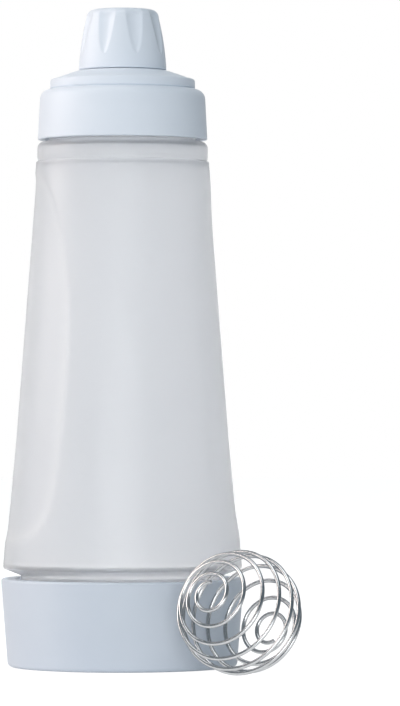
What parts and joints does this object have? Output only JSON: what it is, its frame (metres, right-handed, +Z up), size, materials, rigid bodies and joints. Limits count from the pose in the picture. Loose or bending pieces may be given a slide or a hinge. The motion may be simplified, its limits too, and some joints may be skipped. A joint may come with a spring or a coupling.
{
  "type": "batter dispenser",
  "caption": "Tapered translucent squeeze bottle with a screw base, a screw lid with a pouring spout and a fluted nozzle cap, and a loose wire whisk ball for mixing batter.",
  "frame": {"origin": "middle of the base's flat underside, on the bottle's axis", "axes": "+Z up along the bottle's axis, -Y the front that the picture shows, +X to its right"},
  "size_m": [0.1167, 0.1289, 0.2573],
  "materials": {
    "base_plastic": "satin moulded polypropylene, pale ice blue",
    "lid_plastic": "satin moulded polypropylene, pale ice blue",
    "frosted_plastic": "frosted translucent natural polypropylene",
    "seal": "white silicone",
    "nozzle_silicone": "translucent white silicone",
    "whisk_steel": "bright drawn stainless wire"
  },
  "bodies": {
    "base": {"base_cup": "base_plastic"},
    "base_seal": {"base_gasket": "seal"},
    "bottle": {"bottle_body": "frosted_plastic"},
    "lid_seal": {"lid_gasket": "seal"},
    "lid": {"lid": "lid_plastic", "nozzle_tip": "nozzle_silicone", "nozzle_retainer": "lid_plastic"},
    "cap_seal": {"cap_liner": "seal"},
    "cap": {"nozzle_cap": "lid_plastic"},
    "whisk": {"whisk_ball": "whisk_steel"}
  },
  "joints": [
    {"name": "bottle_turn", "type": "hinge", "parent": "base", "child": "base_seal", "pos_m": [0, 0, 0], "axis": [0, 0, 1], "range_deg": [0, 450]},
    {"name": "bottle_lift", "type": "slide", "parent": "base_seal", "child": "bottle", "axis": [0, 0, 1], "range_m": [0, 0.00751]},
    {"name": "lid_lift", "type": "slide", "parent": "bottle", "child": "lid_seal", "axis": [0, 0, 1], "range_m": [0, 0.00626]},
    {"name": "lid_turn", "type": "hinge", "parent": "lid_seal", "child": "lid", "pos_m": [0, 0, 0.2], "axis": [0, 0, 1], "range_deg": [0, 450]},
    {"name": "cap_lift", "type": "slide", "parent": "lid", "child": "cap_seal", "axis": [0, 0, 1], "range_m": [0, 0.00451]},
    {"name": "cap_turn", "type": "hinge", "parent": "cap_seal", "child": "cap", "pos_m": [0, 0, 0.24], "axis": [0, 0, 1], "range_deg": [0, 450]},
    {"name": "whisk_roll", "type": "slide", "parent": "base", "child": "whisk", "axis": [0.6198, -0.7848, 0], "range_m": [0, 0.12]}
  ],
  "couplings": [
    {"joint": "bottle_lift", "follows": "bottle_turn", "m_per_rad": 0.00095493},
    {"joint": "lid_lift", "follows": "lid_turn", "m_per_rad": 0.00079577},
    {"joint": "cap_lift", "follows": "cap_turn", "m_per_rad": 0.00057296}
  ]
}
